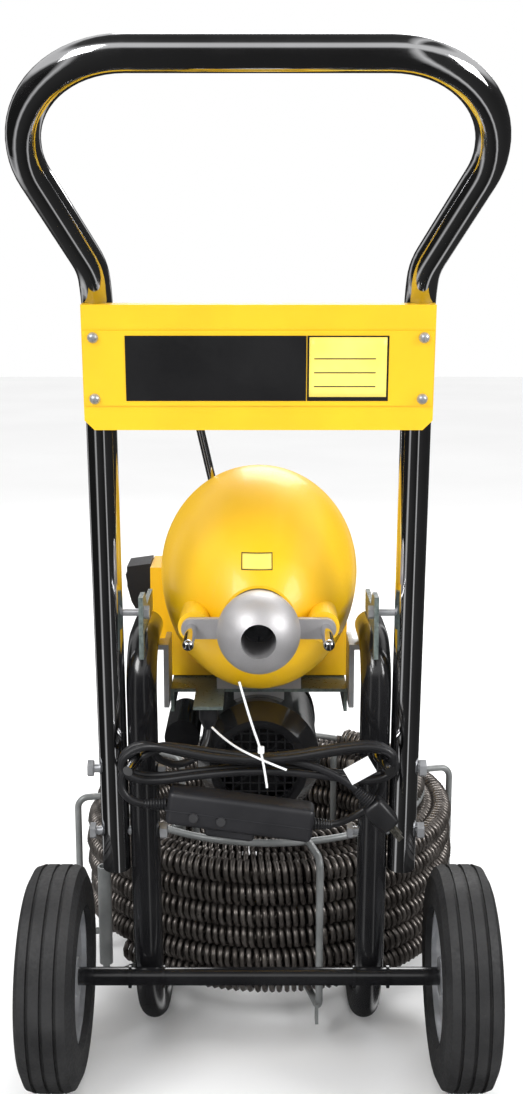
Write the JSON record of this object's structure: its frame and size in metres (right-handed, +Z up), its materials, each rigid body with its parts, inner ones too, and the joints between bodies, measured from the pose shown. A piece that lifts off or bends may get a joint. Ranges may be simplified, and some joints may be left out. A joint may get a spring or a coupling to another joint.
{
  "type": "drain snake machine",
  "caption": "Wheeled drain cleaning machine: bent tube frame and handle, domed belt guard over a hollow spindle, motor below, coiled drain cable in a rod carrier.",
  "frame": {"origin": "middle of the footprint on the floor", "axes": "+Z up; the nose and handle face -Y; +X to the right seen from the nose"},
  "size_m": [0.5437, 0.8752, 1.1242],
  "materials": {
    "black_paint": "gloss",
    "chrome": "polished",
    "yellow_paint": "satin",
    "cast_aluminium": "satin cast",
    "zinc_steel": "plated",
    "hammer_paint": "hammered",
    "grey_rod": "satin",
    "cast_iron": "as cast",
    "oiled_steel": "oiled",
    "tyre_rubber": "matt",
    "black_rubber": "satin",
    "black_plastic": "moulded",
    "coloured_button": "gloss",
    "label": "printed film",
    "brass": "plated"
  },
  "bodies": {
    "frame": {"axle": "black_paint", "axle_collars": "black_paint", "bearing_pedestals": "cast_aluminium", "bed_mounts": "zinc_steel", "bed_plate": "hammer_paint", "cable_carrier": "grey_rod", "cable_coupling": "zinc_steel", "cable_sleeve": "grey_rod", "capacitor_cover": "black_paint", "control_panel": "yellow_paint", "cord_gland": "black_rubber", "cord_hank": "black_rubber", "cord_hooks": "chrome", "cord_tag": "label", "drain_cable": "oiled_steel", "drive_belt": "black_rubber", "fan_grille": "black_paint", "fork_bracket": "hammer_paint", "fork_pin": "zinc_steel", "frame_bolts": "zinc_steel", "front_hood": "yellow_paint", "guide_pins": "chrome", "handle_tube": "chrome", "left_leg": "black_paint", "leg_brackets": "hammer_paint", "motor_bearings": "zinc_steel", "motor_bells": "black_paint", "motor_shell": "black_paint", "motor_stator": "cast_iron", "nose_casting": "cast_aluminium", "panel_labels": "label", "panel_screws": "zinc_steel", "plug": "black_rubber", "plug_blades": "brass", "power_cord": "black_rubber", "protector_box": "black_plastic", "rear_guard": "yellow_paint", "rear_stand": "black_paint", "right_leg": "black_paint", "skid_plugs": "black_plastic", "spindle_bearings": "zinc_steel", "switch_box": "yellow_paint", "switch_housing": "black_plastic"},
    "left_wheel": {"left_tyre": "tyre_rubber", "left_rim": "zinc_steel"},
    "right_wheel": {"right_tyre": "tyre_rubber", "right_rim": "zinc_steel"},
    "spindle": {"spindle": "zinc_steel", "clutch_jaws": "zinc_steel", "spindle_sheave": "cast_iron"},
    "rotor": {"motor_rotor": "zinc_steel", "cooling_fan": "black_plastic", "motor_pulley": "cast_iron"},
    "lever": {"clutch_fork": "zinc_steel", "clutch_lever": "chrome", "lever_grip": "black_plastic"},
    "sleeve": {"thrust_sleeve": "zinc_steel"},
    "rocker": {"switch_rocker": "black_plastic"},
    "test": {"test_button": "coloured_button"},
    "reset": {"reset_button": "coloured_button"}
  },
  "joints": [
    {"name": "left_wheel_spin", "type": "hinge", "parent": "frame", "child": "left_wheel", "pos_m": [-0.2345, -0.168, 0.127], "axis": [1, 0, 0], "continuous": true},
    {"name": "right_wheel_spin", "type": "hinge", "parent": "frame", "child": "right_wheel", "pos_m": [0.2345, -0.168, 0.127], "axis": [1, 0, 0], "continuous": true},
    {"name": "spindle_spin", "type": "hinge", "parent": "frame", "child": "spindle", "pos_m": [0, 0, 0.555], "axis": [0, 1, 0], "continuous": true},
    {"name": "rotor_spin", "type": "hinge", "parent": "frame", "child": "rotor", "pos_m": [0, 0, 0.367], "axis": [0, 1, 0], "continuous": true},
    {"name": "lever_pull", "type": "hinge", "parent": "frame", "child": "lever", "pos_m": [0, -0.001, 0.612], "axis": [-1, 0, 0], "range_deg": [0, 20]},
    {"name": "sleeve_slide", "type": "slide", "parent": "frame", "child": "sleeve", "axis": [0, -1, 0], "range_m": [0, 0.02]},
    {"name": "switch_rock", "type": "hinge", "parent": "frame", "child": "rocker", "pos_m": [-0.1576, 0.037, 0.555], "axis": [0, 0, 1], "range_deg": [-6, 6]},
    {"name": "test_press", "type": "slide", "parent": "frame", "child": "test", "axis": [0, 1, 0], "range_m": [0, 0.0015], "stiffness_N_per_m": 400},
    {"name": "reset_press", "type": "slide", "parent": "frame", "child": "reset", "axis": [0, 1, 0], "range_m": [0, 0.0015], "stiffness_N_per_m": 400}
  ],
  "couplings": [
    {"joint": "rotor_spin", "follows": "spindle_spin", "ratio": 2.43},
    {"joint": "sleeve_slide", "follows": "lever_pull", "m_per_rad": 0.057}
  ]
}
